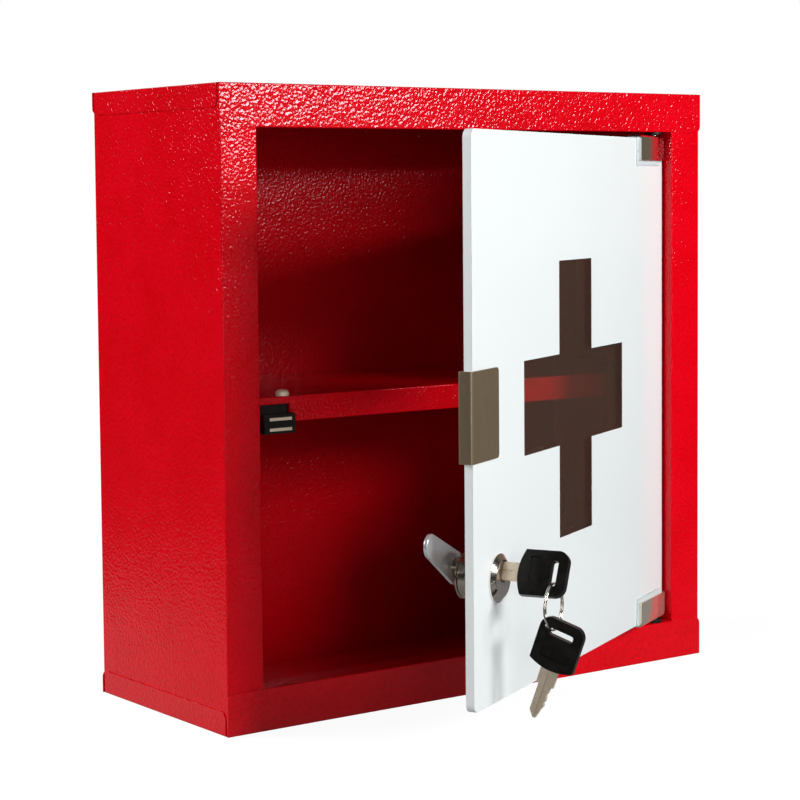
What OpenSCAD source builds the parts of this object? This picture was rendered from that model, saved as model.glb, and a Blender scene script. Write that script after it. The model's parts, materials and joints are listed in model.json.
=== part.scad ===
// Lockable wall cabinet in folded sheet metal, with a swinging glass door.
// Millimetres. X runs to the right, Y to the back, Z up.
// The origin is the middle of the base, on the plane that the case stands on.

/* [Case] */
// Width over the covers
case_w = 300; // [260:5:400]
// Depth from the front face to the back face
case_d = 120; // [110:5:200]
// Height over the covers
case_h = 301.4; // [290:0.2:420]
// Thickness of the folded sheet
sheet = 0.5; // [0.4:0.1:0.8]
// Inner radius of every bend in the case
bend_inside = 0.2; // [0.1:0.1:1]
// Width of the red border around the opening
border = 20.2; // [18:0.2:24]
// Depth of the return that runs round the opening
lip_depth = 14; // [12:0.5:18]
// Height of the covers' side and back flanges
side_flange_h = 11.3; // [8:0.1:16]
// Rounding of the free corners of the flanges
flange_corner_r = 3.5; // [1:0.5:6]
// Slit between the front flange and the side flange at each corner
corner_slit = 2; // [0.5:0.25:3]
// Spacing of the wall screw holes, across
wall_hole_span_x = 220; // [120:5:220]
// Spacing of the wall screw holes, up
wall_hole_span_z = 220; // [120:5:220]
// Radius of the wall screw holes
wall_hole_r = 3; // [2:0.25:4]

/* [Shelf and catch] */
// Height of the shelf's upper face over the middle of the case
shelf_rise = 4.6; // [0:0.1:16]
// Distance of the shelf's front lip behind the case front
shelf_setback = 11.5; // [10:0.5:14]
// Height of the shelf's folded lips
shelf_lip_h = 12; // [8:0.5:14]
// Distance from the left edge of the case to the catch
catch_left = 27.3; // [26:0.1:40]
// Distance of the catch face behind the case front
catch_setback = 8.2; // [8.1:0.1:9]
// Width of the catch's lower block
catch_w = 17.4; // [16:0.2:24]
// Width of the catch's upper block
catch_upper_w = 14.5; // [12:0.1:15]
// Depth of the catch
catch_d = 24; // [20:1:34]

/* [Door] */
// Angle at which the door stands open
door_open = 28.25; // [5:0.25:100]
// Gap between the pane's free edge and the border
free_gap = 5.2; // [5:0.1:6.5]
// Gap between the pane's hinge edge and the border
hinge_gap = 1.4; // [1:0.1:3]
// Gap under the pane
low_gap = 4.1; // [3.5:0.1:5]
// Gap over the pane
high_gap = 3.4; // [3:0.1:5]
// Thickness of the pane with its print
door_t = 4; // [4:0.1:4.2]
// Thickness of the printed layer on the pane's front
print_t = 0.1; // [0.05:0.05:0.3]
// Rounding of the pane's corners
pane_corner_r = 4; // [1:0.5:6]
// Span of the clear cross, tip to tip
cross_span = 131.6; // [90:0.2:134]
// Width of the cross's arms
cross_arm = 43.4; // [25:0.2:46]
// Shift of the cross from the pane's middle to the free edge
cross_shift = 2; // [0:0.5:4]
// Height of the cross's centre over the middle of the case
cross_rise = 1.6; // [0:0.2:4]

/* [Hinges] */
// Distance of the hinge axis behind the case front
pivot_setback = 4.5; // [4.3:0.1:5]
// Distance of the hinge axis from the pane's edge
pivot_in_door = 8; // [7:0.5:8.5]
// Length of each hinge clip
clip_len = 37.5; // [30:0.5:44]
// Height of each hinge clip over the pane
clip_h = 12.9; // [10:0.1:16]
// Thickness over a hinge clip
clip_t = 8; // [7.4:0.1:8]
// Plate thickness of the hinge clips
clip_plate = 1.5; // [1:0.1:1.5]
// Radius of the hinge pins
pin_r = 1.95; // [1.5:0.05:2]
// Running clearance between a pin and its bush
pin_clearance = 0.05; // [0.02:0.01:0.1]
// Collar radius of the bushes
bush_collar_r = 4.4; // [3.8:0.1:4.4]

/* [Handle] */
// Length of the handle clip over the pane
handle_len = 29.5; // [20:0.5:40]
// Height of the handle clip
handle_h = 40.2; // [30:0.2:44]
// Distance of the handle clip's lower edge under the shelf's upper face
handle_drop = 21.6; // [20:0.1:23]
// Thickness over the handle clip
handle_t = 7; // [6.6:0.1:7.1]
// Overhang of the handle clip past the pane's edge
handle_overhang = 3.5; // [2.6:0.1:4]

/* [Lock] */
// Distance of the lock from the pane's free edge
lock_from_edge = 27.3; // [27:0.1:31]
// Height of the lock body's centre
lock_z = 79.7; // [60:0.1:110]
// Height of the keyway above the lock body's centre
plug_rise = 3.3; // [0:0.1:3.3]
// Radius of the rosette
rosette_r = 11; // [10.5:0.1:13]
// Radius of the lock body
barrel_r = 8.9; // [8.9:0.1:9.4]
// Radius of the turning plug
plug_r = 5; // [4.8:0.1:5]
// Length of the lock body behind the pane's middle
barrel_len = 14.8; // [13:0.1:15]
// Distance of the cam behind the pane's middle
cam_depth = 18.2; // [17:0.1:19]
// Distance from the plug to the centre of the cam's tip
cam_reach = 29.2; // [24:0.1:29.2]
// Radius of the cam's tip
cam_tip_r = 5.5; // [4:0.1:5.5]
// Angle of the plug, key and cam from locked
lock_turned = 27.5; // [27.5:0.5:90]

/* [Keys] */
// Overall length of a key
key_len = 46; // [44:0.5:48]
// Width of the key's plastic head
key_head_w = 21; // [18:0.2:22]
// Length of the key's plastic head
key_head_len = 23; // [21:0.5:24]
// Thickness of the key's plastic head
key_head_t = 3.2; // [2.8:0.1:3.4]
// Thickness of the key's blade
key_blade_t = 2; // [1.6:0.1:2]
// Radius of the split ring, to the middle of its wire
ring_r = 10.3; // [10:0.1:12]
// Radius of the ring's wire, which makes two turns side by side
ring_wire_r = 0.42; // [0.35:0.01:0.45]
// Lean of the hanging key from upright
spare_lean = 19.3; // [0:0.1:25]

/* [Hidden] */
$fn = 64;

coat_red = [0.78, 0.02, 0.07];
plastic_black = [0.04, 0.04, 0.045];
steel_bright = [0.75, 0.75, 0.74];
key_metal = [0.72, 0.66, 0.52];
past = 1;               // how far a cutting tool runs past the face it cuts
slack = 0.05;           // gap between a hole and the fixed piece in it

// Case
bend_r = sheet + bend_inside;       // outer face of a bend
half_w = case_w / 2;
half_d = case_d / 2;
opening_x = half_w - border;
lip_end_y = -half_d + lip_depth;
wrap_x = half_w - sheet;            // outer face of the wrap's sides
wrap_y = half_d - sheet;            // outer face of the wrap's back and stiles
inner_x = wrap_x - sheet;
inner_y = wrap_y - sheet;
lip_gap = 0.1;                      // between a cover's lip and the stile returns

// Shelf and catch
shelf_top = case_h / 2 + shelf_rise;
shelf_front_y = -half_d + shelf_setback;
shelf_neck_x = opening_x - 1.5;
shelf_hinge_gap = 6.5;              // lip's end to the hinge axis, so that the pane's edge can swing
shelf_wide_y = lip_end_y + 0.8;
catch_x = -half_w + catch_left;
catch_y = -half_d + catch_setback;
catch_hang = 17.1;                  // catch's lower face under the shelf's upper face
catch_step_hang = 7.8;
catch_top_hang = 3.8;
catch_screw_in = 14.7;
catch_screw_back = 7.3;
catch_bottom = shelf_top - catch_hang;
catch_step = shelf_top - catch_step_hang;
catch_top = shelf_top - catch_top_hang;
catch_notch_gap = 0.3;
catch_notch_in = 1;                 // upper notch's end before the lower block's side
catch_screw_x = catch_x + catch_screw_in;
catch_screw_y = catch_y + catch_screw_back;
catch_screw_r = 1.5;
catch_boss_r = 2.7;
pole_in = 3;
pole_w = 12.4;
pole_t = 1.5;
pole_pitch = 4.9;
pole_rise = 1.2;
pole_x = catch_x + pole_in;
pole_low = catch_bottom + pole_rise;
pole_high = pole_low + pole_pitch;
pole_d = 17.8;
pole_proud = 0.1;

// Door, drawn closed about its hinge axis: X to the hinge edge, Y to the back
door_w = 2 * opening_x - hinge_gap - free_gap;
door_bottom = border + low_gap;
pane_top = case_h - border - high_gap;
pivot_x = opening_x - hinge_gap - pivot_in_door;
pivot_y = -half_d + pivot_setback;
pane_free_x = pivot_in_door - door_w;
pane_back = door_t / 2;
pane_front = -door_t / 2;
barrel_hole_r = barrel_r + 0.1;
cross_x = pivot_in_door - door_w / 2 - cross_shift;
cross_z = case_h / 2 + cross_rise;
lock_x = pane_free_x + lock_from_edge;
plug_z = lock_z + plug_rise;

// Hinge clips
clip_web = 0.9;
clip_rise = 1.4;                    // web's outer face beyond the pane's edge
clip_hinge_x = pivot_in_door - 1;
clip_free_x = clip_hinge_x - clip_len;
clip_corner_r = 3.5;
clip_edge_r = 1.2;
liner_margin = 2.8;
upper_clip_top = pane_top + clip_rise;
lower_clip_bottom = door_bottom - clip_rise;
lower_collar_h = 1.8;
upper_collar_h = 1.2;
bush_body_r = pin_r + 0.9;
bush_body_len = 5;
bush_floor_t = 1.2;
lower_pin_end = border - bush_body_len + bush_floor_t;
upper_pin_end = case_h - border + 3;
set_screw_r = 1.9;
set_screw_proud = 0.3;
set_screw_slot = 0.6;
set_screw_in = 9;                   // first screw from the clip's free end
set_screw_out = 11;                 // second screw from the clip's hinge end

// Handle clip
handle_plate = 1;
handle_bend_r = 1.3;
handle_corner_r = 2;
handle_end_x = pane_free_x - handle_overhang;
handle_z = shelf_top - handle_drop;

// Lock
rosette_proud = 2.7;
rosette_face_r = 8.3;
rosette_rim = 0.8;
face_y = pane_front - rosette_proud;
washer_t = 0.5;
nut_r = 10;
back_ring_t = 0.8;
nut_end_y = barrel_len - back_ring_t;
plug_face_y = face_y + 0.1;
cam_t = 1.8;
cam_hub_r = 7.6;
cam_square = 7;
cam_screw_head_h = 2.2;
keyway_end_y = 11.4;
keyway_h = 6.3;

// Keys: the shank runs out along the lock axis, counted from the pane's middle
key_tip = -11;
head_near = key_tip + key_len - key_head_len;
head_far = key_tip + key_len;
head_arc_r = 23.3;
head_corner_r = 5;
shoulder = 4.75;                    // where the wide part of the blade meets the plug
shoulder_half = 4.15;
blade_half = 2.95;
tang_end = head_near + 8;
slot_near = head_far - 7.6;
slot_far = head_far - 4.5;
slot_low = -5.8;
slot_high = 6;
slot_r = 1.2;
slot_mid = (slot_near + slot_far) / 2;
cut_pitch = 2.6;                    // spacing of the cuts in the blade's edge
blade_step = 0.1;
groove_w = 0.9;
groove_deep = 0.5;
panel_near = head_near + 5;
panel_far = panel_near + 5;
panel_low = -6.5;
panel_high = 7.5;
panel_deep = 0.5;
panel_r = 1;
coil_step = 0.8;                    // between the two turns of the ring
// Where the ring's wire crosses the first key's slot, across the key
ring_cross = slot_low + 1.8;
ring_top_x = lock_x + ring_cross * sin(lock_turned);
ring_top_z = plug_z + ring_cross * cos(lock_turned);
ring_mid_z = ring_top_z - ring_r;
// Where the wire sits in the hanging key's slot, along and across that key
hang_along = slot_far - 1.1;
hang_across = slot_low + 1.5;

// ---- helpers ----

// A box between two opposite corners.
module slab(low, high) {
    translate(low) cube([high[0] - low[0], high[1] - low[1], high[2] - low[2]]);
}

// A quarter of a tube about Z: the bend between two folded sheets.
module bend(len, r = bend_r, t = sheet) {
    rotate_extrude(angle = 90) translate([r - t, 0]) square([t, len]);
}

// A rectangle with all corners rounded.
module round_rect(low, high, r) {
    translate([low[0] + r, low[1]]) square([high[0] - low[0] - 2 * r, high[1] - low[1]]);
    translate([low[0], low[1] + r]) square([high[0] - low[0], high[1] - low[1] - 2 * r]);
    for (x = [low[0] + r, high[0] - r], y = [low[1] + r, high[1] - r])
        translate([x, y]) circle(r = r);
}

// Two unequal circles and the straight sides between them, which start just inside each rim.
module tapered_link(r1, r2, reach) {
    lean = acos((r1 - r2) / reach);
    seat = 0.995;
    ends = [for (side = [-1, 1]) [
        [seat * r1 * cos(lean), side * seat * r1 * sin(lean)],
        [reach + seat * r2 * cos(lean), side * seat * r2 * sin(lean)]
    ]];
    circle(r = r1);
    translate([reach, 0]) circle(r = r2);
    polygon([ends[0][0], ends[0][1], ends[1][1], ends[1][0]]);
}

// Stands a drawing upright: its X stays X, its Y becomes Z, and it fills y0 to y1.
module upright(y0, y1) {
    translate([0, y1, 0]) rotate([90, 0, 0]) linear_extrude(y1 - y0) children();
}

// Turns a shape drawn along Z so that it runs along Y from the point (x, 0, z).
module along_y(x, z) {
    translate([x, 0, z]) rotate([-90, 0, 0]) children();
}

// Moves the closed door's pieces to the hinge axis and swings them open.
module on_door() {
    translate([pivot_x, pivot_y, 0]) rotate([0, 0, door_open]) children();
}

// Turns the plug's pieces, drawn locked about Y, about the plug's axis.
module on_plug() {
    on_door() translate([lock_x, 0, plug_z]) rotate([0, lock_turned, 0]) children();
}

// ---- case ----

// Back, sides, front stiles and their returns, folded from one sheet.
module body_wrap() {
    low = bend_r;
    len = case_h - 2 * bend_r;
    color(coat_red) difference() {
        union() {
            slab([-wrap_x + bend_r, inner_y, low], [wrap_x - bend_r, wrap_y, low + len]);
            for (side = [0, 1]) mirror([side, 0, 0]) translate([0, 0, low]) {
                slab([inner_x, -wrap_y + bend_r, 0], [wrap_x, wrap_y - bend_r, len]);
                translate([wrap_x - bend_r, wrap_y - bend_r, 0]) bend(len);
                translate([wrap_x - bend_r, -wrap_y + bend_r, 0]) rotate([0, 0, -90]) bend(len);
                slab([opening_x + bend_r, -wrap_y, 0], [wrap_x - bend_r, -wrap_y + sheet, len]);
                translate([opening_x + bend_r, -wrap_y + bend_r, 0]) rotate([0, 0, 180]) bend(len);
                slab([opening_x, -wrap_y + bend_r, 0], [opening_x + sheet, lip_end_y, len]);
            }
        }
        for (x = [-1, 1], z = [-1, 1])
            along_y(x * wall_hole_span_x / 2, case_h / 2 + z * wall_hole_span_z / 2)
                translate([0, 0, inner_y - past]) cylinder(r = wall_hole_r, h = sheet + 2 * past);
    }
}

// A straight flange hanging from z = top to z = low, its two free corners rounded.
module flange(half_len, low, top) {
    difference() {
        round_rect([-half_len, low], [half_len, top + flange_corner_r], flange_corner_r);
        translate([-half_len - past, top]) square([2 * (half_len + past), flange_corner_r + past]);
    }
}

// A shallow lid whose front flange folds back as a lip under the border.
module cover() {
    top = case_h;
    lip_z = case_h - border;
    flange_top = top - bend_r;
    side_half = half_d - sheet - corner_slit;
    lip_half = opening_x - lip_gap;
    color(coat_red) difference() {
        union() {
            slab([-half_w + bend_r, -half_d + bend_r, top - sheet], [half_w - bend_r, half_d - bend_r, top]);
            // front: bend, flange, and the lip behind the opening's edge
            translate([-half_w, -half_d + bend_r, flange_top])
                rotate([90, 0, 90]) rotate([0, 0, 90]) bend(case_w);
            upright(-half_d, -half_d + sheet) difference() {
                flange(half_w, lip_z, flange_top);
                translate([-opening_x, lip_z - past]) square([2 * opening_x, bend_r + past]);
            }
            translate([-lip_half, -half_d + bend_r, lip_z + bend_r])
                rotate([90, 0, 90]) rotate([0, 0, 180]) bend(2 * lip_half);
            slab([-lip_half, -half_d + bend_r, lip_z], [lip_half, lip_end_y, lip_z + sheet]);
            // back
            translate([-half_w, half_d - bend_r, flange_top]) rotate([90, 0, 90]) bend(case_w);
            upright(half_d - sheet, half_d) flange(half_w, top - side_flange_h, flange_top);
            // sides
            for (side = [0, 1]) mirror([side, 0, 0]) {
                translate([half_w - bend_r, side_half, flange_top]) rotate([90, 0, 0]) bend(2 * side_half);
                rotate([0, 0, 90]) upright(-half_w, -half_w + sheet)
                    flange(side_half, top - side_flange_h, flange_top);
            }
        }
        translate([pivot_x, pivot_y, lip_z - past]) cylinder(r = bush_body_r + slack, h = bend_r + 2 * past);
    }
}

module top_cover() cover();

module bottom_tray() translate([0, 0, case_h]) mirror([0, 0, 1]) cover();

// ---- shelf and magnetic catch ----

module shelf() {
    low = shelf_top - shelf_lip_h;
    fold_top = shelf_top - bend_r;
    side_front = shelf_wide_y + 1;
    side_back = inner_y - bend_r;
    lip_right = pivot_x - shelf_hinge_gap;
    color(coat_red) difference() {
        union() {
            slab([-shelf_neck_x, shelf_front_y + bend_r, shelf_top - sheet],
                 [lip_right, shelf_wide_y + past, shelf_top]);
            slab([-inner_x + bend_r, shelf_wide_y, shelf_top - sheet],
                 [inner_x - bend_r, inner_y, shelf_top]);
            translate([-shelf_neck_x, shelf_front_y + bend_r, fold_top])
                rotate([90, 0, 90]) rotate([0, 0, 90]) bend(lip_right + shelf_neck_x);
            slab([-shelf_neck_x, shelf_front_y, low], [lip_right, shelf_front_y + sheet, fold_top]);
            for (side = [0, 1]) mirror([side, 0, 0]) {
                translate([inner_x - bend_r, side_back, fold_top])
                    rotate([90, 0, 0]) bend(side_back - side_front);
                slab([inner_x - sheet, side_front, low], [inner_x, side_back, fold_top]);
            }
        }
        // the catch passes through the front lip
        slab([catch_x - catch_notch_gap, shelf_front_y - past, low - past],
             [catch_x + catch_w + catch_notch_gap, shelf_front_y + past, catch_step + catch_notch_gap]);
        slab([catch_x - catch_notch_gap, shelf_front_y - past, catch_step],
             [catch_x + catch_w - catch_notch_in, shelf_front_y + past, catch_top + catch_notch_gap]);
        translate([catch_screw_x, catch_screw_y, shelf_top - 2 * past])
            cylinder(r = catch_screw_r + slack, h = 3 * past);
    }
}

module catch_housing() {
    color(plastic_black) difference() {
        union() {
            slab([catch_x, catch_y, catch_bottom], [catch_x + catch_w, catch_y + catch_d, catch_step]);
            slab([catch_x, shelf_front_y, catch_step], [catch_x + catch_upper_w, catch_y + catch_d, catch_top]);
            translate([catch_screw_x, catch_screw_y, catch_step - past])
                cylinder(r = catch_boss_r, h = shelf_top - sheet - catch_step + past);
        }
        for (z = [pole_low, pole_high])
            slab([pole_x - slack, catch_y - past, z - slack],
                 [pole_x + pole_w + slack, catch_y + pole_d + slack, z + pole_t + slack]);
        slab([pole_x - slack, catch_y + 1.5, pole_low + pole_t - past],
             [pole_x + pole_w + slack, catch_y + pole_d - 2, pole_high + past]);
        translate([catch_screw_x, catch_screw_y, catch_step - 1])
            cylinder(r = catch_screw_r + slack, h = shelf_top - catch_step + past);
    }
}

module catch_magnet() {
    color([0.2, 0.2, 0.2])
        slab([pole_x, catch_y + 1.6, pole_low + pole_t], [pole_x + pole_w, catch_y + pole_d - 2.1, pole_high]);
}

module catch_pole_plates() {
    color(steel_bright) for (z = [pole_low, pole_high])
        slab([pole_x, catch_y - pole_proud, z], [pole_x + pole_w, catch_y + pole_d, z + pole_t]);
}

module catch_screw() {
    head_r = 3.3;
    head_h = 3.1;
    color(steel_bright) translate([catch_screw_x, catch_screw_y, shelf_top]) difference() {
        union() {
            rotate_extrude() polygon([
                [0, 0], [head_r, 0], [head_r, head_h * 0.45],
                for (a = [20:20:80]) [head_r * cos(a), head_h * (0.45 + 0.55 * sin(a))], [0, head_h]
            ]);
            translate([0, 0, catch_step - shelf_top]) cylinder(r = catch_screw_r, h = shelf_top - catch_step);
        }
        for (a = [0, 90]) rotate([0, 0, a + 20])
            slab([-head_r * 0.6, -0.4, head_h - 1.2], [head_r * 0.6, 0.4, head_h + past]);
    }
}

// ---- hinge bushes in the case ----

// Collar, body and blind bore, drawn with the collar's seat at z = 0 and the body below.
module bush(collar_h) {
    color(plastic_black) difference() {
        union() {
            cylinder(r = bush_collar_r, h = collar_h);
            translate([0, 0, -bush_body_len]) cylinder(r = bush_body_r, h = bush_body_len);
        }
        translate([0, 0, bush_floor_t - bush_body_len])
            cylinder(r = pin_r + pin_clearance, h = bush_body_len + collar_h);
    }
}

module lower_bush() translate([pivot_x, pivot_y, border]) bush(lower_collar_h);

module upper_bush()
    translate([pivot_x, pivot_y, case_h - border]) mirror([0, 0, 1]) bush(upper_collar_h);

// ---- pane ----

module pane_outline() {
    difference() {
        round_rect([pane_free_x, door_bottom], [pivot_in_door, pane_top], pane_corner_r);
        translate([lock_x, lock_z]) circle(r = barrel_hole_r);
    }
}

module door_glass() {
    color([0.35, 0.2, 0.15, 0.6]) on_door() upright(pane_front + print_t, pane_back) pane_outline();
}

// White print over the whole front, left clear in the shape of a cross.
module door_print() {
    half = cross_span / 2;
    arm = cross_arm / 2;
    color([0.95, 0.98, 0.98]) on_door() upright(pane_front, pane_front + print_t) difference() {
        pane_outline();
        translate([cross_x - half, cross_z - arm]) square([cross_span, cross_arm]);
        translate([cross_x - arm, cross_z - half]) square([cross_arm, cross_span]);
    }
}

// ---- handle clip on the free edge ----

// A sheet strap folded round the free edge; the catch pulls on its rear leaf.
module handle_clip() {
    half_t = handle_t / 2;
    root_x = handle_end_x + handle_len;
    color([0.42, 0.36, 0.27]) on_door() difference() {
        translate([0, 0, handle_z]) linear_extrude(handle_h) difference() {
            round_rect([handle_end_x, -half_t], [root_x + handle_bend_r, half_t], handle_bend_r);
            translate([handle_end_x + handle_plate, -half_t + handle_plate])
                square([handle_len + past, handle_t - 2 * handle_plate]);
            translate([root_x, -half_t - past]) square([handle_bend_r + past, handle_t + 2 * past]);
        }
        // the leaves' free corners
        upright(-half_t - past, half_t + past) difference() {
            translate([root_x - handle_corner_r, handle_z - past])
                square([handle_corner_r + past, handle_h + 2 * past]);
            round_rect([handle_end_x, handle_z], [root_x, handle_z + handle_h], handle_corner_r);
        }
    }
}

// Soft channel between the strap and the pane.
module handle_liner() {
    inner = handle_t / 2 - handle_plate;
    root_x = handle_end_x + handle_len - 0.3;
    color([0.85, 0.88, 0.88]) on_door() difference() {
        slab([handle_end_x + handle_plate, -inner, handle_z + 0.3], [root_x, inner, handle_z + handle_h - 0.3]);
        slab([pane_free_x, pane_front, handle_z - past], [root_x + past, pane_back, handle_z + handle_h + past]);
    }
}

// ---- hinge clips on the pane's upper and lower edges ----

// Drawn for the upper edge: a channel open below, with the pivot pin on its web.
module hinge_clip(pin_end) {
    half_t = clip_t / 2;
    low = upper_clip_top - clip_h;
    color(steel_bright) difference() {
        union() {
            translate([clip_free_x, 0, 0]) rotate([90, 0, 90]) linear_extrude(clip_len) difference() {
                round_rect([-half_t, low - clip_edge_r], [half_t, upper_clip_top], clip_edge_r);
                translate([-half_t + clip_plate, low - 2 * clip_edge_r])
                    square([clip_t - 2 * clip_plate, clip_h + 2 * clip_edge_r - clip_web]);
                translate([-half_t - past, low - 2 * clip_edge_r]) square([clip_t + 2 * past, 2 * clip_edge_r]);
            }
            translate([0, 0, upper_clip_top - clip_web]) cylinder(r = pin_r, h = pin_end - upper_clip_top + clip_web);
        }
        // rounded outer corner
        upright(-half_t - past, half_t + past) difference() {
            translate([clip_hinge_x - clip_corner_r, upper_clip_top - clip_corner_r])
                square(clip_corner_r + past);
            translate([clip_hinge_x - clip_corner_r, upper_clip_top - clip_corner_r]) circle(r = clip_corner_r);
        }
        for (place = set_screw_places()) along_y(place[0], place[1])
            translate([0, 0, half_t - clip_plate - past]) cylinder(r = set_screw_r + slack, h = clip_plate + 2 * past);
    }
}

// Clear plastic channel that shows past the clip along two edges.
module hinge_liner() {
    inner = clip_t / 2 - clip_plate;
    color([0.8, 0.88, 0.9]) difference() {
        slab([clip_free_x - liner_margin, -inner, upper_clip_top - clip_h - liner_margin],
             [clip_hinge_x - clip_corner_r, inner, upper_clip_top - clip_web]);
        slab([clip_free_x - liner_margin - past, pane_front, upper_clip_top - clip_h - liner_margin - past],
             [clip_hinge_x, pane_back, pane_top]);
    }
}

// The lower clip is the upper one turned over about the door's middle height.
module on_lower_edge() {
    translate([0, 0, upper_clip_top + lower_clip_bottom]) mirror([0, 0, 1]) children();
}

function set_screw_places() =
    [for (x = [clip_free_x + set_screw_in, clip_hinge_x - set_screw_out]) [x, upper_clip_top - clip_h / 2]];

module upper_hinge_clip() on_door() hinge_clip(upper_pin_end);

module lower_hinge_clip()
    on_door() on_lower_edge() hinge_clip(upper_clip_top + lower_clip_bottom - lower_pin_end);

module upper_hinge_liner() on_door() hinge_liner();

module lower_hinge_liner() on_door() on_lower_edge() hinge_liner();

// Slotted grub screws that press each clip's rear plate onto the pane.
module set_screw_pair() {
    seat = clip_t / 2 - clip_plate;
    for (place = set_screw_places()) along_y(place[0], place[1]) difference() {
        translate([0, 0, seat]) cylinder(r = set_screw_r, h = clip_plate + set_screw_proud);
        slab([-set_screw_r, -set_screw_slot / 2, seat + clip_plate - set_screw_slot / 2],
             [set_screw_r, set_screw_slot / 2, seat + clip_plate + past]);
    }
}

module hinge_set_screws() {
    color([0.3, 0.3, 0.32]) on_door() {
        set_screw_pair();
        on_lower_edge() set_screw_pair();
    }
}

// ---- lock ----

// Bevelled rosette and threaded body in one piece, bored off-centre for the plug.
module lock_barrel() {
    color(steel_bright) on_door() difference() {
        along_y(lock_x, lock_z) rotate_extrude() polygon([
            [0, face_y], [rosette_face_r, face_y], [rosette_r, pane_front - rosette_rim],
            [rosette_r, pane_front], [barrel_r, pane_front], [barrel_r, barrel_len], [0, barrel_len]
        ]);
        along_y(lock_x, plug_z) translate([0, 0, face_y - past])
            cylinder(r = plug_r + slack, h = barrel_len - face_y + 2 * past);
    }
}

module lock_washer() {
    color([0.85, 0.86, 0.86]) on_door() along_y(lock_x, lock_z) translate([0, 0, pane_back]) difference() {
        cylinder(r = nut_r + 0.4, h = washer_t);
        translate([0, 0, -past]) cylinder(r = barrel_r + slack, h = washer_t + 2 * past);
    }
}

// Long round nut that clamps the lock to the pane, with two flats for a spanner.
module lock_nut() {
    chamfer = 0.6;
    low = pane_back + washer_t;
    flat_depth = 0.8;
    flat_h = 4;
    color([0.7, 0.62, 0.52]) on_door() difference() {
        along_y(lock_x, lock_z) rotate_extrude() polygon([
            [barrel_r + slack, low], [nut_r, low], [nut_r, nut_end_y - chamfer],
            [nut_r - chamfer, nut_end_y], [barrel_r + slack, nut_end_y]
        ]);
        for (side = [-1, 1])
            slab([lock_x - nut_r, low + 1, lock_z + side * nut_r - (side > 0 ? flat_depth : past)],
                 [lock_x + nut_r, low + 1 + flat_h, lock_z + side * nut_r + (side > 0 ? past : flat_depth)]);
    }
}

module lock_back_ring() {
    color(plastic_black) on_door() along_y(lock_x, lock_z) translate([0, 0, nut_end_y]) difference() {
        cylinder(r = nut_r + 0.3, h = back_ring_t);
        translate([0, 0, -past]) cylinder(r = barrel_r + slack, h = back_ring_t + 2 * past);
    }
}

module lock_plug() {
    color([0.7, 0.68, 0.62]) on_plug() difference() {
        union() {
            along_y(0, 0) translate([0, 0, plug_face_y]) cylinder(r = plug_r, h = cam_depth - plug_face_y);
            slab([-cam_square / 2, cam_depth - past, -cam_square / 2],
                 [cam_square / 2, cam_depth + cam_t, cam_square / 2]);
        }
        slab([-key_blade_t / 2 - 0.1, plug_face_y - past, -keyway_h / 2],
             [key_blade_t / 2 + 0.1, keyway_end_y, keyway_h / 2]);
        along_y(0, 0) translate([0, 0, keyway_end_y + 2])
            cylinder(r = catch_screw_r + slack, h = cam_depth + cam_t);
    }
}

// Locking tongue, drawn locked: it points level to the free edge.
module lock_cam() {
    hole = cam_square / 2 + slack;
    color([0.78, 0.79, 0.8]) on_plug() difference() {
        upright(cam_depth, cam_depth + cam_t) mirror([1, 0]) tapered_link(cam_hub_r, cam_tip_r, cam_reach);
        slab([-hole, cam_depth - past, -hole], [hole, cam_depth + cam_t + past, hole]);
    }
}

module cam_screw() {
    head_r = 5;
    seat = cam_depth + cam_t;
    color(steel_bright) on_plug() along_y(0, 0) difference() {
        union() {
            rotate_extrude() polygon([
                [0, seat], [head_r, seat], [head_r, seat + 1.2], [head_r - 1, seat + cam_screw_head_h],
                [0, seat + cam_screw_head_h]
            ]);
            translate([0, 0, seat - 5]) cylinder(r = catch_screw_r, h = 5 + past);
        }
        for (a = [0, 90]) rotate([0, 0, a])
            slab([-2.4, -0.45, seat + 1], [2.4, 0.45, seat + cam_screw_head_h + past]);
    }
}

// ---- keys ----

// Puts a side view, X out along the lock axis and Y up, into the key's own plane.
module key_plane(thickness) {
    rotate([90, 0, -90]) translate([0, 0, -thickness / 2]) linear_extrude(thickness) children();
}

// Blade with one cut edge; the wide shoulder stops at the plug's face.
module blade() {
    tip_half = blade_half / 5;
    // places of the cuts behind the shoulder in pitches, and what is left of the half width
    cuts = [[1, 1], [1.5, 0.8], [2.5, 1], [3, 0.75], [3.5, 0.95], [4.5, 0.55], [5, 0.5]];
    color(key_metal) difference() {
        key_plane(key_blade_t) polygon([
            [key_tip, -tip_half], [key_tip + blade_half, -blade_half], [shoulder - blade_step, -blade_half],
            [shoulder, -shoulder_half], [tang_end, -shoulder_half], [tang_end, shoulder_half],
            [shoulder, shoulder_half], [shoulder - blade_step, blade_half],
            for (cut = cuts) [shoulder - cut[0] * cut_pitch, cut[1] * blade_half],
            [key_tip, tip_half]
        ]);
        for (side = [-1, 1]) translate([side * key_blade_t / 2, 0, 0])
            slab([-groove_deep, -head_near + blade_half, -groove_w / 2],
                 [groove_deep, -key_tip - blade_half / 2, groove_w / 2]);
    }
}

// Flat plastic head with a long slot for the ring and a sunk panel on each face.
module head() {
    half = key_head_w / 2;
    color(plastic_black) difference() {
        key_plane(key_head_t) difference() {
            intersection() {
                round_rect([head_near - 2 * head_corner_r, -half], [head_far, half], head_corner_r);
                translate([head_near + head_arc_r, 0]) circle(r = head_arc_r);
            }
            round_rect([slot_near, slot_low], [slot_far, slot_high], slot_r);
        }
        key_plane(key_blade_t + 2 * slack) translate([head_near - past, -shoulder_half - slack])
            square([tang_end - head_near + past + slack, 2 * (shoulder_half + slack)]);
        for (side = [-1, 1]) translate([side * key_head_t / 2, 0, 0]) key_plane(2 * panel_deep)
            round_rect([panel_near, panel_low], [panel_far, panel_high], panel_r);
    }
}

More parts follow.
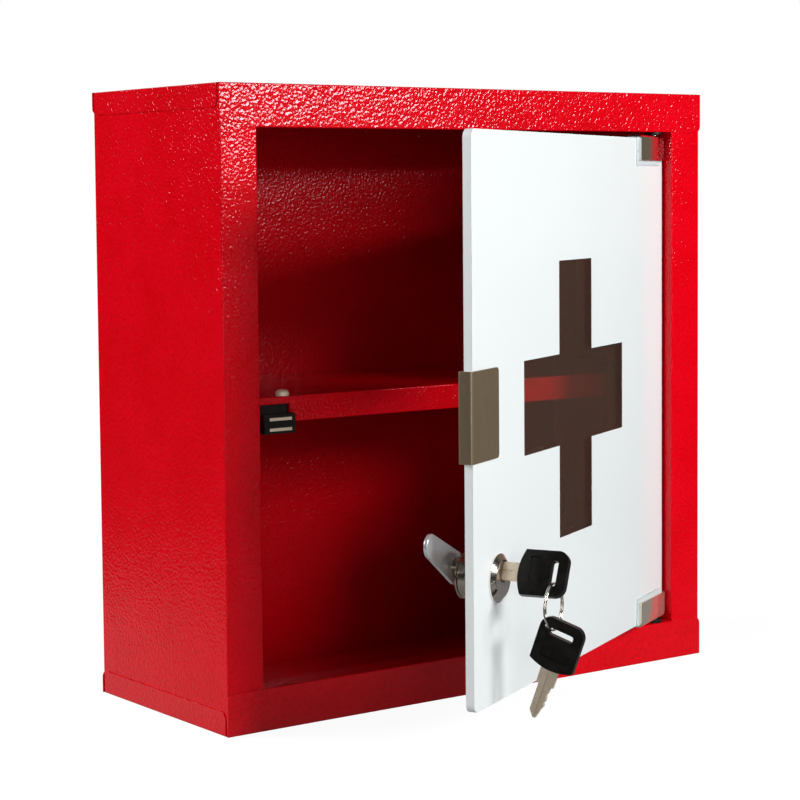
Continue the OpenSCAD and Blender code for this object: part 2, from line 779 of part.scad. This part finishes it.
// Both turns of the split ring, about its centre, the ring's axis along Y.
module key_ring() {
    color([0.75, 0.74, 0.72]) on_door() translate([ring_top_x, -slot_mid, ring_mid_z]) rotate([-90, 0, 0])
        for (turn = [-0.5, 0.5]) translate([0, 0, turn * coil_step])
            rotate_extrude() translate([ring_r, 0]) circle(r = ring_wire_r);
}

// Hangs a key from the bottom of the ring, turned over and leaning.
module on_ring() {
    on_door() translate([ring_top_x, -slot_mid, ring_mid_z - ring_r])
        rotate([spare_lean - 90, 0, 0]) rotate([0, 180, 0]) translate([0, hang_along, -hang_across]) children();
}

module key_blade() on_plug() blade();

module key_head() on_plug() head();

module spare_key_blade() on_ring() blade();

module spare_key_head() on_ring() head();

body_wrap();
top_cover();
bottom_tray();
shelf();
catch_housing();
catch_magnet();
catch_pole_plates();
catch_screw();
upper_bush();
lower_bush();
door_glass();
door_print();
handle_clip();
handle_liner();
upper_hinge_clip();
lower_hinge_clip();
upper_hinge_liner();
lower_hinge_liner();
hinge_set_screws();
lock_barrel();
lock_nut();
lock_washer();
lock_back_ring();
lock_plug();
lock_cam();
cam_screw();
key_blade();
key_head();
key_ring();
spare_key_blade();
spare_key_head();
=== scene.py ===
import json
from math import cos, radians, sin

import bmesh
import bpy
from mathutils import Matrix, Vector


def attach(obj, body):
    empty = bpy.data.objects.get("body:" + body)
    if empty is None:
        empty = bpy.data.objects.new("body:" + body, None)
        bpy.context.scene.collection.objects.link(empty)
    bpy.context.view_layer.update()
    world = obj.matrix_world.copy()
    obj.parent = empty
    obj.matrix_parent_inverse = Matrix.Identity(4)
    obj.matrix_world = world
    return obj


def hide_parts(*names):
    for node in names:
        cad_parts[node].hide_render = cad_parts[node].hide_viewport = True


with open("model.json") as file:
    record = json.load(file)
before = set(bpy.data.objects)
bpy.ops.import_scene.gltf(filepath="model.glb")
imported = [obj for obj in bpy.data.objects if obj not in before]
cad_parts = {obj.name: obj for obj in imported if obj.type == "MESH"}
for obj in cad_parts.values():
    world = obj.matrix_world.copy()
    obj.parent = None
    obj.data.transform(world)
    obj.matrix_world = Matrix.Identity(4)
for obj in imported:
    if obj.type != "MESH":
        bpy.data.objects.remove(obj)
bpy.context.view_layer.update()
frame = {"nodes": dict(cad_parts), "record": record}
scene = bpy.context.scene
NODES = frame["nodes"]
MM = 0.001

# The door's own directions at rest: towards its hinge edge, and out of its printed face.
DOOR_OPEN = radians(28.25)
HINGEWARD = Vector((cos(DOOR_OPEN), sin(DOOR_OPEN), 0))
OUTWARD = Vector((sin(DOOR_OPEN), -cos(DOOR_OPEN), 0))
UP = Vector((0, 0, 1))
PIVOT = Vector((120.4, -55.5, 0)) * MM


def on_door(along, out, up):
    """A point of the door, in millimetres from the hinge axis, as a place in the scene."""
    return PIVOT + (HINGEWARD * along + OUTWARD * out + UP * up) * MM


# ---- shader maths ----

class Amount:
    """A number that varies over a surface. Arithmetic on it adds Math nodes."""

    def __init__(self, tree, socket):
        self.tree, self.socket = tree, socket

    def math(self, operation, other=0.0, swapped=False):
        first, second = (other, self) if swapped else (self, other)
        return self.tree.node("ShaderNodeMath", {"operation": operation}, {0: first, 1: second})

    def __add__(self, other):
        return self.math("ADD", other)

    def __sub__(self, other):
        return self.math("SUBTRACT", other)

    def __rsub__(self, other):
        return self.math("SUBTRACT", other, swapped=True)

    def __mul__(self, other):
        return self.math("MULTIPLY", other)

    def __truediv__(self, other):
        return self.math("DIVIDE", other)

    def __rtruediv__(self, other):
        return self.math("DIVIDE", other, swapped=True)

    def __pow__(self, other):
        return self.math("POWER", other)

    def __rpow__(self, other):
        return self.math("POWER", other, swapped=True)

    __radd__, __rmul__ = __add__, __mul__

    def size(self):
        """The amount without its sign."""
        return self.math("ABSOLUTE")

    def most(self, other):
        """The larger of two amounts."""
        return self.math("MAXIMUM", other)

    def ramp(self, low, high, to_low=0.0, to_high=1.0):
        """Goes smoothly from to_low to to_high as the amount goes from low to high."""
        return self.tree.node("ShaderNodeMapRange", {"interpolation_type": "SMOOTHSTEP"}, {
            "Value": self, "From Min": low, "From Max": high, "To Min": to_low, "To Max": to_high})


class Tree:
    """A node tree with one shader. Constants are set on its sockets, and what varies is linked."""

    def __init__(self, owner, output, shader, socket, **constants):
        owner.use_nodes = True
        self.owner, self.tree, self.places = owner, owner.node_tree, {}
        self.tree.nodes.clear()
        self.output = self.tree.nodes.new(output)
        self.shader = self.tree.nodes.new(shader)
        self.tree.links.new(self.shader.outputs[0], self.output.inputs[socket])
        self.wear(**constants)

    def give(self, node, sockets):
        """Sets or links a node's sockets."""
        for key, value in sockets.items():
            socket = node.inputs[key]
            if isinstance(value, Amount):
                self.tree.links.new(value.socket, socket)
            elif socket.type == "RGBA" and len(value) == 3:
                socket.default_value = (*value, 1.0)
            else:
                socket.default_value = value

    def node(self, kind, settings=None, sockets=None, output=0):
        """Any node: its settings are set first, then its sockets. Gives one of its outputs."""
        node = self.tree.nodes.new(kind)
        for key, value in (settings or {}).items():
            setattr(node, key, value)
        self.give(node, sockets or {})
        return Amount(self, node.outputs[output])

    def where(self, kind="Object"):
        """Places on the piece, in metres."""
        if kind not in self.places:
            self.places[kind] = self.node("ShaderNodeTexCoord", output=kind)
        return self.places[kind]

    def grain_along(self, turn, scale):
        """Places on the piece, turned and stretched so that a noise runs one way."""
        return self.node("ShaderNodeMapping", {"vector_type": "TEXTURE"}, {
            "Vector": self.where(), "Rotation": turn, "Scale": scale})

    def along(self, direction, kind="Object"):
        """How far a place lies along a direction."""
        return self.node("ShaderNodeVectorMath", {"operation": "DOT_PRODUCT"},
                         {0: self.where(kind), 1: tuple(direction)}, output="Value")

    def noise(self, grain, detail=2.0, roughness=0.5, place=None, distortion=0.0):
        """Soft noise from 0 to 1 whose blots are about `grain` metres across."""
        return self.node("ShaderNodeTexNoise", {}, {
            "Vector": place or self.where(), "Scale": 1 / grain, "Detail": detail,
            "Roughness": roughness, "Distortion": distortion})

    def blend(self, share, first, second):
        """The second colour over the first, by its share."""
        return self.node("ShaderNodeMix", {"data_type": "RGBA"},
                         {0: share, 6: first, 7: second}, output=2)

    def relief(self, height, depth):
        """A normal from a height between 0 and 1, `depth` metres deep."""
        return self.node("ShaderNodeBump", {}, {"Height": height, "Distance": depth})

    def wear(self, **sockets):
        """Sets or links the shader's sockets. Gives the material or world."""
        self.give(self.shader, {key.replace("_", " "): value for key, value in sockets.items()})
        return self.owner


class Finish(Tree):
    """A material for a piece."""

    def __init__(self, name, **constants):
        super().__init__(bpy.data.materials.new(name), "ShaderNodeOutputMaterial",
                         "ShaderNodeBsdfPrincipled", "Surface", **constants)


# ---- finishes ----

# Where the case's inside darkens, and where that ends, in metres from the case's middle.
DARKENS_TOWARDS_BACK = 0.040, 0.056
ENDS_IN_BACK_SHEET = 0.0591, 0.0594
ENDS_BY_THE_SIDES = 0.1475, 0.1490


def powder_coat(name="red_powder_coat", gloss=0.44, darker_at_back=False):
    """Red powder coat that has flowed into a coarse orange peel.

    The case's own copy has less gloss, and is darker and duller towards the back panel.
    That offsets these lamps, which leave the panel too bright. It isn't a trait of the coat.
    """
    coat = Finish(name, Specular_IOR_Level=gloss, Specular_Tint=(1.0, 0.80, 0.87, 1.0))
    mottle = coat.noise(0.02, detail=3)
    peel = coat.noise(0.00135, detail=0.4, roughness=0.4, distortion=0.25)
    film = coat.blend(mottle.ramp(0.3, 0.7), (0.72, 0.0002, 0.0055), (0.77, 0.0003, 0.0085))
    # The peel's dips take a darker red: painted shade in the dips.
    dips_in_painted_shade = coat.blend(0.3, film, (0.46, 0.0, 0.003))
    colour = coat.blend(peel.ramp(0.30, 0.48), dips_in_painted_shade, film)
    polish = 0.12 + 0.04 * mottle
    if darker_at_back:
        depth = coat.along((0, 1, 0))
        between_sides = 1 - coat.along((1, 0, 0)).size().ramp(*ENDS_BY_THE_SIDES)
        inside = 1 - depth.ramp(*ENDS_IN_BACK_SHEET)
        shade = depth.ramp(*DARKENS_TOWARDS_BACK) * inside * between_sides
        colour = coat.blend(shade * 0.5, colour, (0.25, 0.0, 0.002))
        polish = polish + shade * 0.08
    return coat.wear(Base_Color=colour, Roughness=polish, Normal=coat.relief(peel, 0.00030))


def black_plastic():
    """Satin moulded plastic with a fine grain and faint dust."""
    plastic = Finish("moulded_black_plastic", Specular_IOR_Level=0.3)
    grain = plastic.noise(0.0005, detail=3, roughness=0.6)
    haze = plastic.noise(0.004, detail=2)
    colour = plastic.blend(haze, (0.005, 0.006, 0.005), (0.013, 0.013, 0.011))
    return plastic.wear(Base_Color=colour, Roughness=0.34 + 0.14 * haze,
                        Normal=plastic.relief(grain, 0.00004))


def key_plastic():
    """Smoother black plastic, rubbed a little by fingers."""
    plastic = Finish("rubbed_key_plastic", Specular_IOR_Level=0.25)
    grain = plastic.noise(0.0004, detail=3, roughness=0.6)
    rub = plastic.noise(0.004, detail=3)
    colour = plastic.blend(rub.ramp(0.35, 0.7), (0.004, 0.0035, 0.003), (0.012, 0.010, 0.008))
    return plastic.wear(Base_Color=colour, Roughness=0.26 + 0.14 * rub,
                        Normal=plastic.relief(grain, 0.00003))


def ground_magnet():
    """Dark sintered magnet, ground flat."""
    magnet = Finish("ground_magnet", Metallic=0.4)
    grain = magnet.noise(0.0004, detail=4)
    colour = magnet.blend(grain, (0.04, 0.04, 0.042), (0.085, 0.083, 0.08))
    return magnet.wear(Base_Color=colour, Roughness=0.45 + 0.2 * grain,
                       Normal=magnet.relief(grain, 0.00002))


def float_glass():
    """Brown-tinted glass. Each polished face keeps back its share of light, more when aslant."""
    glass = Finish("brown_float_glass", Specular_IOR_Level=0.5)
    smear = glass.noise(0.05, detail=2)
    slant = glass.node("ShaderNodeLayerWeight", {}, {"Blend": 0.5}, output="Facing")
    colour = glass.blend(smear, (0.088, 0.066, 0.048), (0.100, 0.076, 0.056))
    tint = 0.21 + 0.79 * slant ** 5 + 0.02 * smear
    return glass.wear(Base_Color=colour, Roughness=0.004 + 0.012 * smear, Alpha=tint)


def ground_edge():
    """The pane's ground edges: pale, cloudy and faintly green."""
    edge = Finish("ground_glass_edge", Specular_IOR_Level=0.5)
    grind = edge.noise(0.0004, detail=3, roughness=0.7)
    cloud = edge.noise(0.006, detail=2)
    colour = edge.blend(cloud, (0.88, 0.91, 0.92), (0.94, 0.96, 0.96))
    return edge.wear(Base_Color=colour, Roughness=0.30 + 0.2 * grind,
                     Normal=edge.relief(grind, 0.00002))


def glass_print():
    """White print fired onto the pane's front."""
    ink = Finish("white_glass_print", Specular_IOR_Level=0.5)
    cloud = ink.noise(0.06, detail=2)
    speck = ink.noise(0.0008, detail=2)
    colour = ink.blend(cloud, (0.862, 0.912, 0.915), (0.882, 0.925, 0.928))
    colour = ink.blend(speck.ramp(0.70, 0.78) * 0.05, colour, (0.70, 0.78, 0.79))
    return ink.wear(Base_Color=colour, Roughness=0.10 + 0.05 * cloud,
                    Normal=ink.relief(cloud, 0.00004))


def clear_liner():
    """Clear soft plastic between metal and glass, gone a little cloudy."""
    liner = Finish("clear_liner_plastic", Transmission_Weight=0.25, IOR=1.46)
    haze = liner.noise(0.004, detail=2)
    colour = liner.blend(haze, (0.78, 0.90, 0.93), (0.88, 0.95, 0.97))
    return liner.wear(Base_Color=colour, Roughness=0.24 + 0.1 * haze,
                      Normal=liner.relief(haze, 0.00002))


def satin_bronze():
    """Bronze plate on a bent strap, softly brushed along its height."""
    bronze = Finish("satin_bronze_strap", Metallic=0.6)
    upright = bronze.grain_along(turn=(0, 0, DOOR_OPEN), scale=(1, 1, 5))
    grain = bronze.noise(0.0005, detail=3, roughness=0.6, place=upright)
    cloud = bronze.noise(0.007, detail=2)
    colour = bronze.blend(cloud, (0.31, 0.230, 0.150), (0.37, 0.280, 0.185))
    colour = bronze.blend(grain.ramp(0.4, 0.75) * 0.25, colour, (0.18, 0.135, 0.085))
    return bronze.wear(Base_Color=colour, Roughness=0.20 + 0.10 * grain,
                       Normal=bronze.relief(grain, 0.00001))


def chrome(name="polished_chrome", tint=(0.70, 0.69, 0.67), polish=0.05, metallic=1.0):
    """Chrome plate with a little haze and hair scratches."""
    metal = Finish(name, Metallic=metallic)
    haze = metal.noise(0.004, detail=3)
    scratches = metal.noise(0.0006, detail=4, roughness=0.7)
    colour = metal.blend(haze, tint, tuple(1.08 * part for part in tint))
    return metal.wear(Base_Color=colour, Roughness=polish + 0.06 * haze,
                      Normal=metal.relief(scratches, 0.000004))


def bright_zinc():
    """Bright zinc plate with the faint blue of its passivation."""
    zinc = Finish("bright_zinc_plate", Metallic=0.7)
    cloud = zinc.noise(0.003, detail=4, roughness=0.6)
    roll = zinc.noise(0.0004, detail=4, roughness=0.7)
    colour = zinc.blend(cloud, (0.80, 0.84, 0.88), (0.90, 0.92, 0.93))
    return zinc.wear(Base_Color=colour, Roughness=0.12 + 0.14 * cloud,
                     Normal=zinc.relief(roll, 0.000008))


def painted_bright_zinc():
    """Yellowish zinc on the catch's plates and screw, near white and barely metallic: painted
    light on parts that sit in shade.
    """
    zinc = Finish("yellow_zinc_plate", Metallic=0.15)
    cloud = zinc.noise(0.003, detail=4, roughness=0.6)
    roll = zinc.noise(0.0005, detail=4, roughness=0.7)
    colour = zinc.blend(cloud, (0.93, 0.78, 0.58), (0.99, 0.87, 0.68))
    return zinc.wear(Base_Color=colour, Roughness=0.36 + 0.16 * cloud,
                     Normal=zinc.relief(roll, 0.00001))


def satin_nickel(name="satin_nickel", dark=(0.56, 0.49, 0.40), light=(0.66, 0.59, 0.50),
                 polish=0.20):
    """Warm nickel plate, cloudy where it has been handled."""
    nickel = Finish(name, Metallic=1.0)
    cloud = nickel.noise(0.0035, detail=3)
    grain = nickel.noise(0.0003, detail=4, roughness=0.7)
    colour = nickel.blend(cloud, dark, light)
    return nickel.wear(Base_Color=colour, Roughness=polish + 0.14 * cloud,
                       Normal=nickel.relief(grain, 0.000012))


def black_oxide():
    """Blackened steel of the grub screws."""
    steel = Finish("black_oxide_steel", Metallic=0.8)
    grain = steel.noise(0.0004, detail=4)
    colour = steel.blend(grain, (0.035, 0.035, 0.04), (0.08, 0.08, 0.085))
    return steel.wear(Base_Color=colour, Roughness=0.3 + 0.2 * grain,
                      Normal=steel.relief(grain, 0.00001))


def washed_brass():
    """Brass keys with a thin wash of nickel, speckled where it has worn."""
    brass = Finish("nickel_washed_brass", Metallic=0.45)
    speck = brass.noise(0.0008, detail=4, roughness=0.7)
    cloud = brass.noise(0.004, detail=3)
    colour = brass.blend(cloud, (0.80, 0.66, 0.50), (0.90, 0.77, 0.60))
    colour = brass.blend(speck.ramp(0.52, 0.66) * 0.6, colour, (0.50, 0.38, 0.24))
    return brass.wear(Base_Color=colour, Roughness=0.30 + 0.16 * speck,
                      Normal=brass.relief(speck, 0.00002))


def ring_wire():
    """Bright drawn wire of the split ring."""
    wire = Finish("bright_ring_wire", Metallic=1.0)
    cloud = wire.noise(0.002, detail=3)
    draw = wire.noise(0.0003, detail=3)
    colour = wire.blend(cloud, (0.62, 0.58, 0.53), (0.78, 0.76, 0.72))
    return wire.wear(Base_Color=colour, Roughness=0.13 + 0.1 * cloud,
                     Normal=wire.relief(draw, 0.000006))


RED = powder_coat()
CASE_RED = powder_coat("red_powder_coat_on_case", gloss=0.29, darker_at_back=True)
BLACK = black_plastic()
KEY_BLACK = key_plastic()
MAGNET = ground_magnet()
GLASS = float_glass()
EDGE = ground_edge()
PRINT = glass_print()
LINER = clear_liner()
BRONZE = satin_bronze()
CHROME = chrome()
# The lower hinge clip wears a brighter, warmer copy of the chrome, with less metal so the lamps
# light it: painted light.
CHROME_PAINTED_WARMER = chrome("warm_polished_chrome", (0.84, 0.75, 0.63), metallic=0.84)
ROSETTE = chrome("polished_rosette", (0.84, 0.78, 0.72), polish=0.10)
ZINC = bright_zinc()
# The catch's plates and screw are painted bright, standing in for light they don't get in their
# shade.
PLATE_ZINC_PAINTED_BRIGHT = painted_bright_zinc()
NICKEL = satin_nickel()
PLUG_NICKEL = satin_nickel("worn_plug_nickel", dark=(0.16, 0.12, 0.085),
                           light=(0.34, 0.27, 0.20), polish=0.12)
END_RING = satin_nickel("polished_end_ring", dark=(0.50, 0.43, 0.35),
                        light=(0.60, 0.52, 0.44), polish=0.06)
OXIDE = black_oxide()
BRASS = washed_brass()
WIRE = ring_wire()


# ---- pieces ----

BEND = radians(35)          # a flatter edge is part of a bend, and is shaded smooth
FLAT = radians(0.2)         # triangles this close to one plane are one face
SAME_POINT = 2e-6           # metres between corners that are one corner


def body_of(node):
    """The body that carries a node."""
    bodies = frame["record"]["behaviour"]["bodies"]
    return next(body for body, nodes in bodies.items() if node in nodes)


def new_piece(name, bm, finish):
    """Ends a bmesh: its object sits at the origin, smooth over bends and hard over sharp edges."""
    mesh = bpy.data.meshes.new(name)
    bm.to_mesh(mesh)
    bm.free()
    mesh.shade_smooth()
    mesh.set_sharp_from_angle(angle=BEND)
    piece = bpy.data.objects.new(name, mesh)
    scene.collection.objects.link(piece)
    mesh.materials.append(finish)
    return piece


def stands_for(piece, node):
    """The piece takes a node's place in the model, on the node's body."""
    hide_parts(node)
    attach(piece, body_of(node))
    return piece


def copy_of(node):
    """A bmesh copy of a CAD piece, with its loose triangles merged into flat faces."""
    bm = bmesh.new()
    bm.from_mesh(NODES[node].data)
    bmesh.ops.remove_doubles(bm, verts=bm.verts, dist=SAME_POINT)
    bmesh.ops.dissolve_limit(bm, angle_limit=FLAT, verts=bm.verts, edges=bm.edges)
    for face in bm.faces:
        face.material_index = 0
    return bm


def ease_edges(piece, edge, segments=2):
    """Rounds a piece's sharp edges by `edge` millimetres."""
    bevel = piece.modifiers.new("eased_edges", "BEVEL")
    bevel.width, bevel.segments = edge * MM, segments
    bevel.limit_method, bevel.angle_limit = "ANGLE", BEND
    bevel.harden_normals = True
    bevel.use_clamp_overlap = True
    return piece


def eased(node, finish, edge=0.15, segments=2):
    """A CAD piece with its sharp edges eased."""
    piece = new_piece(node + "_finish", copy_of(node), finish)
    return stands_for(ease_edges(piece, edge, segments), node)


def keep(node, finish):
    """A CAD piece that stays as it is, with its finish."""
    for slot in NODES[node].material_slots:
        slot.material = finish


def glazed_pane():
    """The pane with polished faces and ground edges."""
    bm = copy_of("door_glass")
    for face in bm.faces:
        face.material_index = int(abs(face.normal.dot(OUTWARD)) < 0.9)
    pane = new_piece("door_glass_finish", bm, GLASS)
    pane.data.materials.append(EDGE)
    return stands_for(ease_edges(pane, 0.15), "door_glass")


# The split ring hangs in the key's slot. Lengths are in millimetres in the door's directions.
RING_R, WIRE_R = 10.3, 0.42
TURN_PITCH = 0.8            # between the ring's two turns
LOCK_ALONG, PLUG_HEIGHT = -217.7, 83
SLOT_OUT, SLOT_OFF_PLUG = 28.95, 4
KEY_TURN = radians(27.5)
RING_CENTRE = on_door(LOCK_ALONG - SLOT_OFF_PLUG * sin(KEY_TURN), SLOT_OUT,
                      PLUG_HEIGHT - SLOT_OFF_PLUG * cos(KEY_TURN) - RING_R)
CROSSING = 24               # degrees over which the wire crosses from one turn to the other
CROSSES_AT = 118            # middle of the crossing, in degrees from the ring's top hingewards
END_GAP = 4                 # degrees between an end of the wire and the crossing


def split_ring():
    """Two turns of one wire side by side, with a short crossing and two blunt ends."""
    bm = bmesh.new()
    end = bmesh.ops.create_circle(bm, cap_ends=True, segments=14, radius=WIRE_R * MM)["verts"]
    # the circle is drawn facing the way the wire runs at the top of the ring
    facing = Matrix((HINGEWARD, OUTWARD, UP)).transposed().to_4x4()
    flat_to_section = Matrix(((0, 0, 1, 0), (1, 0, 0, 0), (0, 1, 0, 0), (0, 0, 0, 1)))
    bmesh.ops.transform(bm, matrix=facing @ flat_to_section, verts=end)
    ring_top = RING_CENTRE + UP * RING_R * MM - OUTWARD * TURN_PITCH / 2 * MM
    bmesh.ops.translate(bm, verts=end, vec=ring_top)
    start = Matrix.Rotation(radians(CROSSES_AT + CROSSING / 2), 3, OUTWARD)
    bmesh.ops.rotate(bm, verts=end, cent=RING_CENTRE, matrix=start)
    last = list(bm.faces)
    turn = 360 - CROSSING - END_GAP
    for angle, shift, steps in ((turn, 0, 84), (CROSSING, TURN_PITCH, 12), (turn, 0, 84)):
        spun = bmesh.ops.spin(bm, geom=last, cent=RING_CENTRE, axis=OUTWARD,
                              angle=radians(angle), steps=steps,
                              dvec=OUTWARD * shift / steps * MM,
                              use_merge=False, use_duplicate=False)
        last = [part for part in spun["geom_last"] if isinstance(part, bmesh.types.BMFace)]
    bmesh.ops.remove_doubles(bm, verts=bm.verts, dist=1e-7)
    bmesh.ops.recalc_face_normals(bm, faces=bm.faces)
    return stands_for(new_piece("split_ring", bm, WIRE), "key_ring")


eased("body_wrap", CASE_RED, edge=0.16)
for node in ("top_cover", "bottom_tray", "shelf"):
    eased(node, RED, edge=0.16)
eased("catch_housing", BLACK, edge=0.35, segments=3)
keep("catch_magnet", MAGNET)
eased("catch_pole_plates", PLATE_ZINC_PAINTED_BRIGHT, edge=0.12)
eased("catch_screw", PLATE_ZINC_PAINTED_BRIGHT, edge=0.1)
for node in ("upper_bush", "lower_bush"):
    eased(node, BLACK, edge=0.2)
glazed_pane()
keep("door_print", PRINT)
eased("handle_clip", BRONZE, edge=0.18)
eased("handle_liner", LINER, edge=0.1)
eased("upper_hinge_clip", CHROME, edge=0.2)
eased("lower_hinge_clip", CHROME_PAINTED_WARMER, edge=0.2)
for node in ("upper_hinge_liner", "lower_hinge_liner"):
    eased(node, LINER, edge=0.1)
eased("hinge_set_screws", OXIDE, edge=0.08)
eased("lock_barrel", ROSETTE, segments=3)
eased("lock_nut", NICKEL)
keep("lock_washer", LINER)
eased("lock_back_ring", END_RING)
eased("lock_plug", PLUG_NICKEL, edge=0.12)
eased("lock_cam", ZINC, edge=0.4, segments=3)
eased("cam_screw", ZINC)
for node in ("key_head", "spare_key_head"):
    eased(node, KEY_BLACK, edge=0.35, segments=3)
for node in ("key_blade", "spare_key_blade"):
    eased(node, BRASS, edge=0.1)
split_ring()


# ---- stage, lights and camera ----

def add_light(name, place, aim, width, height, watts):
    """A soft box that faces a point, and that the camera doesn't see."""
    data = bpy.data.lights.new(name, "AREA")
    data.shape, data.size, data.size_y = "RECTANGLE", width, height
    data.energy = watts
    light = bpy.data.objects.new(name, data)
    scene.collection.objects.link(light)
    light.location = place
    light.rotation_euler = (Vector(aim) - Vector(place)).to_track_quat("-Z", "Y").to_euler()
    light.visible_camera = False


# The right one is small, so that the coat's peel glints at the case's upper left.
add_light("softbox_right", (0.43, -1.10, 0.57), (0, -0.06, 0.15), 0.46, 0.30, 12.4)
add_light("softbox_left", (-1.45, 0.80, 0.95), (-0.15, 0, 0.15), 0.9, 0.9, 28)
add_light("fill_front", (-0.7, -1.7, 0.35), (-0.05, 0, 0.15), 0.8, 0.6, 6.0)

WHITE = (1, 1, 1)
BEHIND = Vector((0.59, 0.80, 0.12)).normalized()
TO_THE_RIGHT = (0.99, 0.05, 0.1)
TO_THE_LEFT_BACK = (-0.59, 0.80, 0)


def light_path(tree, output):
    """1 where a ray is of one kind, else 0."""
    return tree.node("ShaderNodeLightPath", output=output)


def seen_directly(tree):
    """1 for what the camera sees, also through glass."""
    return light_path(tree, "Is Camera Ray").most(light_path(tree, "Is Transmission Ray"))


# The white sweep is seen by the camera, through glass, and in polished surfaces that face it.
# The rest of what they mirror is nearly black, which keeps a grey veil off the reds.
world = bpy.data.worlds.new("studio")
scene.world = world
air = Tree(world, "ShaderNodeOutputWorld", "ShaderNodeBackground", "Surface")
sweep = air.along(BEHIND, "Generated").ramp(0.72, 0.92)
right_wall = air.along(TO_THE_RIGHT, "Generated").ramp(0.80, 0.97)
mirrored = air.blend(sweep, (0.02, 0.02, 0.021), WHITE)
mirrored = air.blend(right_wall, mirrored, (0.15, 0.13, 0.10))
colour = air.blend(light_path(air, "Is Glossy Ray"), (0.02, 0.02, 0.02), mirrored)
air.wear(Color=air.blend(seen_directly(air), colour, WHITE))

# The floor is pale to lamps. Seen directly it is white and keeps a soft shadow. Mirrored, it
# is nearly black, apart from a bright part beside the case and one behind it.
pale = Finish("pale_floor", Specular_IOR_Level=0.0, Roughness=1.0)
direct = seen_directly(pale)
mirror = light_path(pale, "Is Glossy Ray")
radius = pale.node("ShaderNodeVectorMath", {"operation": "LENGTH"}, {0: pale.where()},
                   output="Value")
near = 1 - radius.ramp(0.30, 0.60)
beside = pale.along(TO_THE_LEFT_BACK).ramp(-0.05, 0.12, 0.15, 0.40)
behind = (pale.along(BEHIND) / radius).ramp(0.85, 0.97) * radius.ramp(0.3, 0.8)
shine = direct * radius.ramp(0.4, 0.9, 0.94, 1.0) + mirror * (near * beside).most(behind)
lit = pale.blend(direct, (0.42, 0.42, 0.42), (0.13, 0.13, 0.13))
pale.wear(Base_Color=pale.blend(mirror, lit, (0.04, 0.04, 0.04)),
          Emission_Color=pale.blend(shine, (0, 0, 0), WHITE), Emission_Strength=1.0)
floor = bmesh.new()
bmesh.ops.create_grid(floor, x_segments=1, y_segments=1, size=8)
new_piece("floor", floor, pale.owner)

camera_data = bpy.data.cameras.new("camera")
camera = bpy.data.objects.new("camera", camera_data)
scene.collection.objects.link(camera)
camera.matrix_world = Matrix((
    (0.8057889, 0.0492266, -0.5901534, -0.673865),
    (-0.5921427, 0.0527641, -0.8041038, -0.910340),
    (-0.0084444, 0.9973929, 0.0716659, 0.250785),
    (0, 0, 0, 1)))
camera_data.lens, camera_data.sensor_width = 98.5, 36
camera_data.shift_y = -0.0629
scene.camera = camera
scene.view_settings.view_transform = "Standard"
